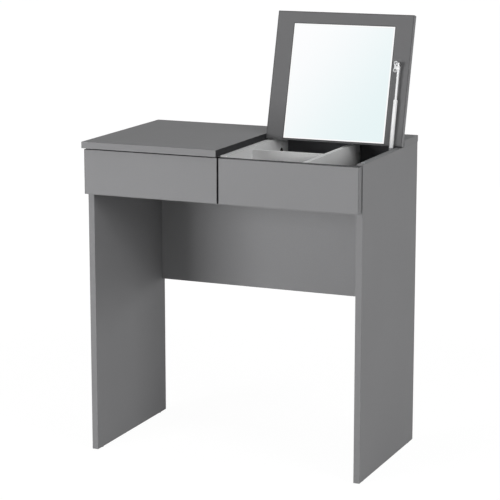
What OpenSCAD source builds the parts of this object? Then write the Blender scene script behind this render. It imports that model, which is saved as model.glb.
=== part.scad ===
// Dressing table with a drawer on the left and a mirror lid over a compartment on the right.
// +X is to the right, +Y to the back, +Z up. The origin is on the floor under the middle of the top.
// The lid is drawn open, as it stands with its stay at full length, and the drawer closed.

/* [Overall] */
// Width of the top
table_w = 700; // [640:1:800]
// Depth of the top
table_d = 420; // [400:1:470]
// Height of the top's upper face
table_h = 770; // [700:1:800]
// Thickness of the fixed top
top_t = 15.5; // [15:0.5:20]

/* [Legs and back] */
// Thickness of the legs and the other carcass boards
board_t = 15; // [15:0.5:18]
// How far the legs' outer faces lie inside the top's ends
leg_side_inset = 0.5; // [0:0.5:5]
// How far the legs' rear edges lie inside the top's rear edge
leg_back_inset = 2; // [0:0.5:6]
// Height of the back panel
back_h = 397; // [260:1:500]
// Thickness of the glides under the legs
glide_t = 2; // [1.5:0.5:5]
// Diameter of a glide
glide_d = 13; // [10:0.5:14]
// Distance from a leg's corner to its glide
glide_inset = 30; // [15:1:80]

/* [Fronts] */
// Thickness of the two fronts
front_t = 18; // [16:0.5:20]
// Height of the two fronts
front_h = 107.8; // [104:0.2:125]
// How far the top stands over the fronts' faces
front_overhang = 9.2; // [4:0.2:16]
// Air between a front and the edge of its leg
front_standoff = 4; // [2:0.5:6]
// Air between a front and the top
front_top_gap = 3.6; // [2.5:0.1:4.5]
// Air between the two fronts
front_gap = 4; // [3:0.5:6]
// How far a front's outer end lies inside the end of the top
front_end_inset = 2.3; // [1:0.1:5]
// Diameter of the pads behind the fronts
pad_d = 8; // [6:0.5:10]

/* [Compartment] */
// Thickness of the compartment's side board
side_board_t = 16; // [15:0.5:18]
// Thickness of the dividers
divider_t = 12; // [10:0.5:16]
// How far the dividers' top edges lie below the underside of the top
divider_drop = 7; // [5:0.5:20]
// Distance from the middle of the table to the long divider
long_divider_x = 195; // [150:1:230]
// Distance from the back panel to the cross divider
cross_divider_back = 214; // [150:1:250]
// Height from the fronts' lower edge to the compartment floor's underside
floor_rise = 3; // [1:0.5:5]
// Diameter of the cable hole
cable_hole_d = 20; // [16:0.5:24]
// Distance from the back panel to the middle of the cable hole
cable_hole_back = 42; // [30:0.5:45]
// Distance from the underside of the top to the middle of the cable hole
cable_hole_drop = 37.5; // [36:0.5:45]

/* [Drawer] */
// Length of the drawer's sides
drawer_l = 312; // [280:1:320]
// Height of the drawer's sides
drawer_h = 70; // [60:1:78]
// Thickness of the drawer's sides and back
drawer_t = 12; // [12:0.5:14]
// Thickness of the drawer's bottom
drawer_bottom_t = 3; // [2.5:0.1:4]
// Height from the sides' lower edge to the drawer's bottom
drawer_bottom_rise = 8; // [6:0.5:12]
// Depth of the grooves that hold the drawer's bottom
groove_depth = 5; // [3:0.5:6]
// How far the drawer opens
drawer_travel = 240; // [180:1:245]
// Depth of the low rail under the front of the drawer
rail_d = 60; // [40:1:80]

/* [Runners] */
// Air between a drawer side and the board beside it
runner_space = 12.5; // [12.5:0.1:14]
// Thickness of the runners' sheet steel
sheet_t = 1.2; // [1:0.1:1.5]
// Diameter of a roller
roller_d = 16; // [14:0.5:17]
// Width of a roller
roller_w = 5; // [4:0.5:6]
// Diameter of a roller's axle
axle_d = 4; // [3:0.5:6]
// Length of a cabinet runner
runner_l = 314; // [290:1:320]
// Distance from a runner's end to its roller
roller_inset = 11; // [10:0.5:16]

/* [Lid] */
// Thickness of the lid
lid_t = 14; // [13:0.5:14.5]
// Length of the lid from front to back
lid_l = 315; // [300:1:330]
// Air beside the lid
lid_side_gap = 1; // [0.5:0.1:3]
// How far the lid opens, in degrees
lid_open = 105; // [90:1:110]
// Distance from the lid's rear edge to the hinge axis
axis_inset = 8; // [6:0.5:9]
// Height of the hinge axis above the lid's underside
axis_rise = 8.5; // [8:0.1:9]
// Size of the eased rear edge under the lid
ease = 3.2; // [3.1:0.1:3.3]
// Width of the frame beside the mirror
stile_w = 45; // [40:1:70]
// Width of the frame at the front of the mirror
rail_w = 29.5; // [20:0.5:60]
// Distance from the lid's rear edge to the mirror
mirror_end = 3.4; // [3.4:0.1:5]
// Thickness of the mirror
mirror_t = 3; // [2.5:0.1:3]
// Thickness of the tape behind the mirror
tape_t = 1; // [0.8:0.1:1]
// Width of a strip of tape
tape_w = 20; // [15:1:30]

/* [Lid hinges] */
// Width of a hinge
hinge_w = 36; // [30:1:50]
// Diameter of a hinge's knuckles
knuckle_d = 8; // [7:0.1:8]
// Diameter of a hinge pin
pin_d = 4; // [3:0.1:5]
// Thickness of a hinge leaf
leaf_t = 2; // [1.5:0.1:2.2]
// How deep a hinge leaf sits in its board
leaf_set = 24; // [20:1:30]
// Distance from the lid's sides to the middle of a hinge
hinge_side = 75; // [65:1:110]

/* [Lid stay] */
// Distance from the right leg to the middle of the stay
stay_side = 8; // [8:0.1:9]
// Height of the stay's lower stud below the top of the leg
foot_drop = 14; // [13:0.5:20]
// Distance from the hinge axis forward to the stay's lower stud
foot_reach = 21.5; // [21.5:0.5:26]
// Distance from the lid's rear edge to the stay's upper stud
stay_reach = 194; // [170:1:220]
// Height of the stay's upper stud off the lid's underside
stay_off = 9.7; // [9.5:0.1:12]
// Diameter of the stay's tube
tube_d = 10; // [9:0.5:10]
// Length of the stay's tube, from the lower stud
tube_l = 130; // [115:1:145]
// Diameter of the stay's rod
rod_d = 5.5; // [4:0.5:6]
// Diameter of the stay's end sockets
socket_d = 10; // [9:0.5:11]
// Thickness of the stay's end sockets
socket_t = 7.4; // [7:0.1:7.6]
// Diameter of the stay's studs
stud_d = 6; // [4:0.5:6]
// Thickness of the stay's two plates
plate_t = 2; // [1.5:0.1:2.2]

/* [Fasteners] */
// Diameter of a cam housing
cam_d = 15; // [12:0.5:15]
// Distance from a board's edge to the middle of a cam
cam_set = 24; // [20:1:34]
// Diameter of a cam bolt
bolt_d = 6; // [5:0.5:7]
// How deep a cam bolt sits in the other board
bolt_set = 11; // [8:0.5:12]
// Diameter of a wood dowel
dowel_d = 8; // [6:0.5:8]
// Length of a wood dowel
dowel_l = 24; // [20:1:24]
// Diameter of a wood screw
screw_d = 4; // [3:0.5:4.5]

/* [Hidden] */
$fn = 48;

// Colours
foil = [0.44, 0.44, 0.45];
edging = [0.16, 0.16, 0.17];
pale_foil = [0.66, 0.66, 0.66];
steel = [0.78, 0.79, 0.80];
plastic = [0.30, 0.30, 0.31];
clear_plastic = [0.85, 0.88, 0.90];
beech = [0.80, 0.65, 0.45];

// Clearances
fit = 0.1;          // between a fastener or a leaf and its hole
run = 0.05;         // round a turning pin
seat = 0.3;         // between a pad and what it stops
swing = 0.5;        // round the lid's rear edge as it turns

// Main planes
half_w = table_w / 2;
half_d = table_d / 2;
under_z = table_h - top_t;
leg_x1 = half_w - leg_side_inset;
leg_x0 = leg_x1 - board_t;
front_y0 = -half_d + front_overhang;
front_y1 = front_y0 + front_t;
leg_y0 = front_y1 + front_standoff;
leg_y1 = half_d - leg_back_inset;
back_y0 = leg_y1 - board_t;
back_mid_y = back_y0 + board_t / 2;
front_z1 = under_z - front_top_gap;
front_z0 = front_z1 - front_h;
floor_z0 = front_z0 + floor_rise;
floor_z1 = floor_z0 + board_t;
floor_mid_z = floor_z0 + board_t / 2;
divider_z1 = under_z - divider_drop;
cross_y0 = back_y0 - cross_divider_back - divider_t;
cable_y = back_y0 - cable_hole_back;
cable_z = under_z - cable_hole_drop;

// Lid, as it lies when closed
lid_z0 = table_h - lid_t;
lid_y0 = -half_d;
lid_y1 = lid_y0 + lid_l;
lid_x0 = lid_side_gap;
lid_x1 = half_w;
axis_y = lid_y1 - axis_inset;
axis_z = lid_z0 + axis_rise;
strip_y0 = axis_y + norm([axis_inset, lid_t - axis_rise]) + swing;
glass_x0 = lid_x0 + stile_w;
glass_x1 = lid_x1 - stile_w;
glass_y0 = lid_y0 + rail_w;
glass_y1 = lid_y1 - mirror_end;
recess_z1 = lid_z0 + mirror_t + tape_t;
hinge_xs = [lid_x0 + hinge_side, lid_x1 - hinge_side];
knuckle_w = hinge_w / 3;
notch_y0 = axis_y - knuckle_d / 2 - 2 * swing;

// Stay, between the lower stud on the leg and the upper stud on the lid
stay_x = leg_x0 - stay_side;
foot_y = axis_y - foot_reach;
foot_z = under_z - foot_drop;
function open_point(y, z) = let (dy = y - axis_y, dz = z - axis_z, a = -lid_open)
    [axis_y + dy * cos(a) - dz * sin(a), axis_z + dy * sin(a) + dz * cos(a)];
stud_shut = [lid_y1 - stay_reach, lid_z0 - stay_off];
stud_open = open_point(stud_shut.x, stud_shut.y);
stay_run = stud_open - [foot_y, foot_z];
stay_l = norm(stay_run);
stay_lean = atan2(stay_run.x, stay_run.y);
shut_l = norm(stud_shut - [foot_y, foot_z]);
socket_r = socket_d / 2;
rod_z0 = stay_l - shut_l + socket_r + 5;
piston_l = 5;
tube_wall = 1.2;
tube_bore_r = tube_d / 2 - tube_wall;
gland_l = 6;

// Drawer and runners, measured inward from the boards beside the drawer
bay_x0 = -leg_x0;
bay_x1 = -board_t;
bay_mid = (bay_x0 + bay_x1) / 2;
bay_half = (bay_x1 - bay_x0) / 2;
box_half = bay_half - runner_space;
box_y1 = front_y1 + drawer_l;
runner_z0 = floor_z1 + 1;
roller_r = roller_d / 2;
roller_z = runner_z0 + sheet_t + fit + roller_r;
flange_z0 = roller_z + roller_r + seat;
flange_z1 = flange_z0 + sheet_t;
channel_z1 = flange_z1 + 1 + sheet_t;
box_z0 = runner_z0 + sheet_t + 1 + sheet_t;
box_z1 = box_z0 + drawer_h;
bottom_z0 = box_z0 + drawer_bottom_rise;
bottom_z1 = bottom_z0 + drawer_bottom_t;
runner_y0 = leg_y0 + 2;
front_roller_y = runner_y0 + roller_inset;
rear_roller_y = box_y1 - roller_inset;
roller_out = bay_half - sheet_t - 1.4;
side_mid = box_half - drawer_t / 2;

// Cam joints: [board with the cam, other board, place, way from the other board, open face]
drawer_cam_h = drawer_t - 2;
carcass_cam_h = board_t - 3;
cam_end = 45;         // from a board's end to its nearest cam
cam_end_back = 80;    // the same behind the compartment, clear of the cable hole
cam_top_back = 120;   // from the top to the back panel's upper cams
back_zs = [under_z - back_h + cam_end, under_z - cam_top_back];
bay_ys = [leg_y0 + cam_end, back_y0 - cam_end_back];
rail_y = leg_y0 + rail_d / 2;
cam_joints = [
    for (z = back_zs) ["back_panel", "left_leg", [-leg_x0, back_mid_y, z], [1, 0, 0], [0, 1, 0]],
    for (z = back_zs) ["back_panel", "right_leg", [leg_x0, back_mid_y, z], [-1, 0, 0], [0, 1, 0]],
    for (y = bay_ys) ["left_leg", "fixed_top", [-leg_x0 - board_t / 2, y, under_z], [0, 0, -1],
        [1, 0, 0]],
    for (y = bay_ys) ["centre_partition", "fixed_top", [-board_t / 2, y, under_z], [0, 0, -1],
        [-1, 0, 0]],
    ["right_leg", "rear_top_strip", [leg_x0 + board_t / 2, strip_y0 + 22, under_z], [0, 0, -1],
        [-1, 0, 0]],
    for (y = bay_ys) ["compartment_floor", "right_leg", [leg_x0, y, floor_mid_z], [-1, 0, 0],
        [0, 0, -1]],
    for (y = bay_ys) ["compartment_floor", "centre_partition", [0, y, floor_mid_z], [1, 0, 0],
        [0, 0, -1]],
    ["drawer_bay_rail", "left_leg", [-leg_x0, rail_y, floor_mid_z], [1, 0, 0], [0, 0, -1]],
    ["drawer_bay_rail", "centre_partition", [-board_t, rail_y, floor_mid_z], [-1, 0, 0],
        [0, 0, -1]],
    for (x = [long_divider_x / 2, (long_divider_x + leg_x0) / 2])
        ["compartment_floor", "fixed_front", [x, front_y1, floor_mid_z], [0, 1, 0], [0, 0, -1]]
];
drawer_cam_joints = [
    ["drawer_left_side", "drawer_front", [bay_mid - side_mid, front_y1, (box_z0 + box_z1) / 2],
        [0, 1, 0], [1, 0, 0]],
    ["drawer_right_side", "drawer_front", [bay_mid + side_mid, front_y1, (box_z0 + box_z1) / 2],
        [0, 1, 0], [-1, 0, 0]]
];

// Dowel joints: [one board, other board, place, way]
dowel_step = 22;
dowel_joints = [
    for (j = cam_joints) if (j[0] != "drawer_bay_rail" && j[1] != "rear_top_strip")
        let (step = j[3].z != 0 ? [0, dowel_step, 0] : j[4].y != 0 ? [0, 0, dowel_step]
            : j[3].x != 0 ? [0, dowel_step, 0] : [dowel_step, 0, 0])
        [j[0], j[1], j[2] + step, j[3]],
    for (x = [-half_w * 0.7, -half_w * 0.25])
        ["back_panel", "fixed_top", [x, back_mid_y, under_z], [0, 0, -1]],
    for (x = [half_w * 0.25, half_w * 0.7])
        ["back_panel", "rear_top_strip", [x, back_mid_y, under_z], [0, 0, -1]]
];

// Wood screws: [board under the head, other board, place of the head, way in, length]
screw_l = 38;
screw_end = 20;         // from a board's lower end to its nearest screw
screw_front_run = 60;   // from the cross divider forward to a screw
screw_back_run = 130;   // and back to the next one
screw_side_run = 50;    // from the middle of the cross divider to its screws
side_mid_x = side_board_t / 2;
long_mid_x = long_divider_x + divider_t / 2;
cross_mid_x = (side_board_t + long_divider_x) / 2;
carcass_screw_list = [
    for (z = [floor_z1 + screw_end, under_z - screw_end])
        ["back_panel", "centre_partition", [-board_t / 2, leg_y1, z], [0, -1, 0], screw_l],
    for (x = [side_mid_x, long_mid_x], y = [cross_y0 - screw_front_run, cross_y0 + screw_back_run])
        ["compartment_floor", x == side_mid_x ? "compartment_side" : "long_divider",
            [x, y, floor_z0], [0, 0, 1], screw_l],
    for (x = [cross_mid_x - screw_side_run, cross_mid_x + screw_side_run])
        ["compartment_floor", "cross_divider", [x, cross_y0 + divider_t / 2, floor_z0], [0, 0, 1],
            screw_l]
];
drawer_screw_l = 28;
drawer_screw_list = [
    for (s = [-1, 1], z = [bottom_z1 + 14, box_z1 - 14])
        [s < 0 ? "drawer_left_side" : "drawer_right_side", "drawer_back",
            [bay_mid + s * box_half, box_y1 - drawer_t / 2, z], [-s, 0, 0], drawer_screw_l]
];

// Short screws of the metal fittings: [piece under the head, board, place, way in, length]
fitting_screw_l = 11;
runner_screw_end = 55;
runner_screw_ys = [runner_y0 + runner_screw_end, runner_y0 + runner_l - runner_screw_end];
foot_screw_zs = [foot_z - 9, foot_z - 19];
leaf_screw_xs = [-hinge_w / 3, hinge_w / 3];
strip_leaf_y = strip_y0 + leaf_set - 8;
lid_leaf_y = notch_y0 - leaf_set + 8;
leaf_screw_l = 7.5;
fitting_screw_list = [
    for (y = runner_screw_ys)
        ["left_cabinet_runner", "left_leg", [bay_x0 + sheet_t, y, roller_z], [-1, 0, 0],
            fitting_screw_l],
    for (y = runner_screw_ys)
        ["right_cabinet_runner", "centre_partition", [bay_x1 - sheet_t, y, roller_z], [1, 0, 0],
            fitting_screw_l],
    for (z = foot_screw_zs)
        ["stay_foot", "right_leg", [leg_x0 - plate_t, foot_y, z], [1, 0, 0], fitting_screw_l]
];
strip_screw_list = [
    for (hx = hinge_xs, dx = leaf_screw_xs)
        ["rear_top_strip", "hinge_fixed_leaves", [hx + dx, strip_leaf_y, under_z], [0, 0, 1],
            axis_z - under_z + leaf_t / 2 + 2.5]
];
lid_screw_list = [
    for (hx = hinge_xs, dx = leaf_screw_xs)
        ["lid_board", "hinge_moving_leaves", [hx + dx, lid_leaf_y, recess_z1], [0, 0, 1],
            leaf_screw_l]
];
drawer_runner_screw_list = [
    for (s = [-1, 1], y = [front_y1 + runner_screw_end, rear_roller_y - runner_screw_end])
        [s < 0 ? "left_drawer_runner" : "right_drawer_runner",
            s < 0 ? "drawer_left_side" : "drawer_right_side",
            [bay_mid + s * (box_half + sheet_t), y, roller_z], [-s, 0, 0], fitting_screw_l]
];
bracket_l = 30;
bracket_w = 12;
bracket_y = stud_shut.x + 4.4;
bracket_x1 = stay_x - socket_t / 2 - seat;
bracket_x0 = bracket_x1 - bracket_w;
bracket_screw_list = [
    for (s = [-8.7, 8.7])
        ["stay_bracket", "lid_board", [bracket_x0 + 5, bracket_y + s, lid_z0 - plate_t],
            [0, 0, 1], fitting_screw_l]
];
small_d = screw_d * 0.8;

// Frames of reference
module along(place, way, face) {
    side = cross(face, way);
    multmatrix([
        [way.x, side.x, face.x, place.x],
        [way.y, side.y, face.y, place.y],
        [way.z, side.z, face.z, place.z]
    ]) children();
}
module way_to(place, way) {
    face = way.z == 0 ? [0, 0, 1] : [1, 0, 0];
    along(place, way, face) children();
}
module block(x0, x1, y0, y1, z0, z1) translate([x0, y0, z0]) cube([x1 - x0, y1 - y0, z1 - z0]);
module x_rod(x0, x1, y, z, d) translate([x0, y, z]) rotate([0, 90, 0]) cylinder(d = d, h = x1 - x0);
module opened() translate([0, axis_y, axis_z]) rotate([-lid_open, 0, 0])
    translate([0, -axis_y, -axis_z]) children();
module mirrored_pair(s) translate([bay_mid, 0, 0]) mirror([s > 0 ? 1 : 0, 0, 0]) children();

// One cam joint, in its own frame: +X into the cam's board, +Z out of its open face
module cam_hole(half, h) {
    translate([cam_set, 0, half - h - fit]) cylinder(d = cam_d + 2 * fit, h = h + 2 * fit);
    translate([-bolt_set - fit, 0, 0]) rotate([0, 90, 0])
        cylinder(d = bolt_d + 2 * fit, h = bolt_set + cam_set + fit);
}
module cam_housing(half, h) difference() {
    translate([cam_set, 0, half - h]) cylinder(d = cam_d, h = h);
    translate([cam_set - cam_d, 0, 0]) rotate([0, 90, 0]) cylinder(d = bolt_d + 2 * fit, h = cam_d);
    translate([cam_set, 0, half - 1.5]) cube([cam_d * 0.5, 1.6, 4], center = true);
}
module cam_bolt() {
    translate([-bolt_set, 0, 0]) rotate([0, 90, 0]) cylinder(d = bolt_d, h = bolt_set + cam_set - 4);
}
module dowel(extra) {
    translate([-dowel_l / 2 - extra, 0, 0]) rotate([0, 90, 0])
        cylinder(d = dowel_d + 2 * extra, h = dowel_l + 2 * extra);
}
// A countersunk screw, head flush at 0 and its shank along +X
module screw(l, d, extra) {
    head_h = d * 0.5;
    rotate([0, 90, 0]) {
        cylinder(d1 = 2 * d + 2 * extra, d2 = d + 2 * extra, h = head_h);
        cylinder(d = d + 2 * extra, h = l + extra);
    }
}
module pan_screw(l, d, extra, head_h = 0.9) rotate([0, 90, 0]) {
    translate([0, 0, -head_h]) cylinder(d = 2 * d, h = head_h);
    cylinder(d = d + 2 * extra, h = l + extra);
}

// Everything that is drilled out of one board
module drilled(name) {
    for (j = cam_joints) if (j[0] == name || j[1] == name)
        along(j[2], j[3], j[4]) cam_hole(board_t / 2, carcass_cam_h);
    for (j = drawer_cam_joints) if (j[0] == name || j[1] == name)
        along(j[2], j[3], j[4]) cam_hole(drawer_t / 2, drawer_cam_h);
    for (j = dowel_joints) if (j[0] == name || j[1] == name) way_to(j[2], j[3]) dowel(fit);
    for (j = concat(carcass_screw_list, drawer_screw_list)) if (j[0] == name || j[1] == name)
        way_to(j[2], j[3]) screw(j[4], screw_d, fit);
    for (j = concat(strip_screw_list, lid_screw_list)) if (j[0] == name || j[1] == name)
        way_to(j[2], j[3]) screw(j[4], small_d, fit);
    for (j = concat(fitting_screw_list, bracket_screw_list, drawer_runner_screw_list))
        if (j[0] == name || j[1] == name) way_to(j[2], j[3]) pan_screw(j[4], small_d, fit);
}
module board(name, x0, x1, y0, y1, z0, z1) difference() {
    block(x0, x1, y0, y1, z0, z1);
    drilled(name);
}

// Table
module left_leg() color(foil)
    board("left_leg", -leg_x1, -leg_x0, leg_y0, leg_y1, glide_t, under_z);
module right_leg() color(foil)
    board("right_leg", leg_x0, leg_x1, leg_y0, leg_y1, glide_t, under_z);
module leg_glides() color(plastic)
    for (s = [-1, 1], y = [leg_y0 + glide_inset, leg_y1 - glide_inset])
        translate([s * (leg_x0 + board_t / 2), y, 0]) cylinder(d = glide_d, h = glide_t);
module back_panel() color(foil)
    board("back_panel", -leg_x0, leg_x0, back_y0, leg_y1, under_z - back_h, under_z);
module cable_hole() x_rod(-board_t - 1, side_board_t + 1, cable_y, cable_z, cable_hole_d);
module centre_partition() color(foil) difference() {
    board("centre_partition", -board_t, 0, leg_y0, back_y0, floor_z0, under_z);
    cable_hole();
}
module drawer_bay_rail() color(foil)
    board("drawer_bay_rail", -leg_x0, -board_t, leg_y0, leg_y0 + rail_d, floor_z0, floor_z1);
module fixed_top() color(foil)
    board("fixed_top", -half_w, 0, -half_d, half_d, under_z, table_h);
module leaf_kerf(x, y0, y1) block(x - hinge_w / 2 - fit, x + hinge_w / 2 + fit, y0, y1,
    axis_z - leaf_t / 2 - fit, axis_z + leaf_t / 2 + fit);
module rear_top_strip() color(foil) difference() {
    board("rear_top_strip", 0, half_w, strip_y0, half_d, under_z, table_h);
    for (x = hinge_xs) leaf_kerf(x, strip_y0 - 1, strip_y0 + leaf_set + fit);
}
module fixed_front() color(foil)
    board("fixed_front", front_gap / 2, half_w - front_end_inset, front_y0, front_y1, front_z0,
        front_z1);
module front_spacers() color(clear_plastic)
    for (z = [front_z0 + 20, front_z1 - 20])
        translate([leg_x0 + board_t / 2, front_y1, z]) rotate([-90, 0, 0])
            cylinder(d = pad_d, h = front_standoff);
module compartment_floor() color(pale_foil)
    board("compartment_floor", 0, leg_x0, front_y1, back_y0, floor_z0, floor_z1);
module compartment_side() color(pale_foil) difference() {
    board("compartment_side", 0, side_board_t, front_y1, back_y0, floor_z1, under_z);
    cable_hole();
}
module long_divider() color(pale_foil)
    board("long_divider", long_divider_x, long_divider_x + divider_t, front_y1, back_y0, floor_z1,
        divider_z1);
module cross_divider() color(pale_foil)
    board("cross_divider", side_board_t, long_divider_x, cross_y0, cross_y0 + divider_t, floor_z1,
        divider_z1);
module carcass_cams() color(steel)
    for (j = cam_joints) along(j[2], j[3], j[4]) cam_housing(board_t / 2, carcass_cam_h);
module carcass_bolts() color(steel) for (j = cam_joints) along(j[2], j[3], j[4]) cam_bolt();
module carcass_dowels() color(beech) for (j = dowel_joints) way_to(j[2], j[3]) dowel(0);
module carcass_screws() color(steel)
    for (j = carcass_screw_list) way_to(j[2], j[3]) screw(j[4], screw_d, 0);

// Runners. The left ones are drawn from the middle of the bay; the right ones are their mirror.
module cabinet_runner(s, name) color(steel) difference() {
    mirrored_pair(s) {
        y1 = runner_y0 + runner_l;
        block(-bay_half, -bay_half + sheet_t, runner_y0, y1, runner_z0, channel_z1);
        block(-bay_half, -bay_half + 9.5, runner_y0, y1, runner_z0, runner_z0 + sheet_t);
        block(-bay_half, -bay_half + 7, runner_y0, y1, channel_z1 - sheet_t, channel_z1);
        x_rod(-bay_half, -roller_out + roller_w + seat, front_roller_y, roller_z, axle_d);
    }
    drilled(name);
}
module left_cabinet_runner() cabinet_runner(-1, "left_cabinet_runner");
module right_cabinet_runner() cabinet_runner(1, "right_cabinet_runner");
module drawer_runner(s, name) color(steel) difference() {
    mirrored_pair(s) {
        lip = 10;
        block(-box_half - sheet_t, -box_half, front_y1, box_y1, box_z0 - sheet_t, flange_z1);
        block(-box_half - sheet_t, -box_half + lip, front_y1, box_y1, box_z0 - sheet_t, box_z0);
        block(-roller_out, -box_half, front_y1, box_y1, flange_z0, flange_z1);
        x_rod(-roller_out - seat, -box_half, rear_roller_y, roller_z, axle_d);
    }
    drilled(name);
}
module left_drawer_runner() drawer_runner(-1, "left_drawer_runner");
module right_drawer_runner() drawer_runner(1, "right_drawer_runner");
module roller(s, y) color(plastic) mirrored_pair(s) difference() {
    x_rod(-roller_out, -roller_out + roller_w, y, roller_z, roller_d);
    x_rod(-roller_out - 1, -roller_out + roller_w + 1, y, roller_z, axle_d + 2 * run);
}
module left_front_roller() roller(-1, front_roller_y);
module right_front_roller() roller(1, front_roller_y);
module left_rear_roller() roller(-1, rear_roller_y);
module right_rear_roller() roller(1, rear_roller_y);

// Drawer
module drawer_panel_groove() block(bay_mid - box_half + drawer_t - groove_depth - fit,
    bay_mid + box_half - drawer_t + groove_depth + fit, front_y1 - groove_depth - fit, box_y1 + 1,
    bottom_z0 - fit, bottom_z1 + fit);
module drawer_front() color(foil) difference() {
    board("drawer_front", -half_w + front_end_inset, -front_gap / 2, front_y0, front_y1, front_z0,
        front_z1);
    drawer_panel_groove();
}
module drawer_side(s, name) color(pale_foil) difference() {
    x = bay_mid + s * side_mid;
    board(name, x - drawer_t / 2, x + drawer_t / 2, front_y1, box_y1, box_z0, box_z1);
    drawer_panel_groove();
}
module drawer_left_side() drawer_side(-1, "drawer_left_side");
module drawer_right_side() drawer_side(1, "drawer_right_side");
module drawer_back() color(pale_foil)
    board("drawer_back", bay_mid - box_half + drawer_t, bay_mid + box_half - drawer_t,
        box_y1 - drawer_t, box_y1, bottom_z1, box_z1);
module drawer_bottom() color(pale_foil)
    block(bay_mid - box_half + drawer_t - groove_depth, bay_mid + box_half - drawer_t + groove_depth,
        front_y1 - groove_depth, box_y1, bottom_z0, bottom_z1);
module drawer_cams() color(steel)
    for (j = drawer_cam_joints) along(j[2], j[3], j[4]) cam_housing(drawer_t / 2, drawer_cam_h);
module drawer_bolts() color(steel)
    for (j = drawer_cam_joints) along(j[2], j[3], j[4]) cam_bolt();
module drawer_screws() color(steel) {
    for (j = drawer_screw_list) way_to(j[2], j[3]) screw(j[4], screw_d, 0);
    for (j = drawer_runner_screw_list) way_to(j[2], j[3]) pan_screw(j[4], small_d, 0);
}
module drawer_bumpers() color(clear_plastic)
    for (x = [-leg_x0 - board_t / 2, -board_t / 2], z = [front_z0 + 20, front_z1 - 20])
        translate([x, front_y1, z]) rotate([-90, 0, 0])
            cylinder(d = pad_d, h = front_standoff - seat);

// Lid hinges
module knuckles(x, outer) {
    w = knuckle_w;
    spans = outer ? [[-1.5 * w, -0.5 * w - fit], [0.5 * w + fit, 1.5 * w]] : [[-0.5 * w, 0.5 * w]];
    for (v = spans) difference() {
        union() {
            x_rod(x + v[0], x + v[1], axis_y, axis_z, knuckle_d);
            y_end = outer ? strip_y0 + 1 : notch_y0 - 1;
            block(x + v[0], x + v[1], min(axis_y, y_end), max(axis_y, y_end),
                axis_z - leaf_t / 2, axis_z + leaf_t / 2);
        }
        x_rod(x + v[0] - 1, x + v[1] + 1, axis_y, axis_z, pin_d + 2 * run);
    }
}
module hinge_fixed_leaves() color(steel) for (x = hinge_xs) difference() {
    union() {
        knuckles(x, true);
        block(x - hinge_w / 2, x + hinge_w / 2, strip_y0, strip_y0 + leaf_set,
            axis_z - leaf_t / 2, axis_z + leaf_t / 2);
    }
    drilled("hinge_fixed_leaves");
}
module hinge_moving_leaves() color(steel) opened() for (x = hinge_xs) difference() {
    union() {
        knuckles(x, false);
        block(x - hinge_w / 2, x + hinge_w / 2, notch_y0 - leaf_set, notch_y0,
            axis_z - leaf_t / 2, axis_z + leaf_t / 2);
    }
    drilled("hinge_moving_leaves");
}
module hinge_pins() color(steel)
    for (x = hinge_xs) x_rod(x - hinge_w / 2, x + hinge_w / 2, axis_y, axis_z, pin_d);

// Lid
module lid_board() color(foil) opened() difference() {
    rotate([90, 0, 90]) translate([0, 0, lid_x0]) linear_extrude(lid_x1 - lid_x0) polygon([
        [lid_y0, lid_z0], [lid_y1 - ease, lid_z0], [lid_y1, lid_z0 + ease], [lid_y1, table_h],
        [lid_y0, table_h]
    ]);
    block(glass_x0 - fit, glass_x1 + fit, glass_y0 - fit, glass_y1 + fit, lid_z0 - 1, recess_z1);
    for (x = hinge_xs) {
        block(x - hinge_w / 2 - 1, x + hinge_w / 2 + 1, notch_y0, lid_y1 + 1, recess_z1,
            table_h + 1);
        leaf_kerf(x, notch_y0 - leaf_set - fit, notch_y0 + 1);
    }
    drilled("lid_board");
}
module mirror_glass() color("lightcyan") opened()
    block(glass_x0, glass_x1, glass_y0, glass_y1, lid_z0, lid_z0 + mirror_t);
module mirror_tape() color(plastic) opened()
    for (x = [glass_x0 + 15, (glass_x0 + glass_x1 - tape_w) / 2, glass_x1 - 15 - tape_w])
        block(x, x + tape_w, glass_y0 + 15, lid_leaf_y - 15, lid_z0 + mirror_t, recess_z1);
module lid_screws() color(steel) opened() {
    for (j = lid_screw_list) way_to(j[2], j[3]) screw(j[4], small_d, 0);
    for (j = bracket_screw_list) way_to(j[2], j[3]) pan_screw(j[4], small_d, 0);
}
module lid_bumpers() color(clear_plastic) for (x = [side_mid_x, leg_x0 + board_t / 2])
    translate([x, leg_y0 + 20, under_z]) cylinder(d = pad_d, h = lid_z0 - under_z - seat);
module fitting_screws() color(steel) {
    for (j = fitting_screw_list) way_to(j[2], j[3]) pan_screw(j[4], small_d, 0);
    for (j = strip_screw_list) way_to(j[2], j[3]) screw(j[4], small_d, 0);
}

// Lid stay
module stay_bracket() color(steel) opened() difference() {
    union() {
        y = stud_shut.x;
        block(bracket_x0, bracket_x1, bracket_y - bracket_l / 2, bracket_y + bracket_l / 2,
            lid_z0 - plate_t, lid_z0);
        block(bracket_x1 - plate_t, bracket_x1, y - 6, y + 6, stud_shut.y - 4, lid_z0);
        x_rod(bracket_x1 - plate_t, stay_x + socket_t / 2 - 1, y, stud_shut.y, stud_d);
    }
    drilled("stay_bracket");
}
module stay_foot() color(steel) difference() {
    union() {
        block(leg_x0 - plate_t, leg_x0, foot_y - 7, foot_y + 7, foot_z - 24, foot_z + 7);
        x_rod(stay_x + socket_t / 2 + seat, leg_x0 - plate_t, foot_y, foot_z, stud_d);
    }
    drilled("stay_foot");
}
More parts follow.
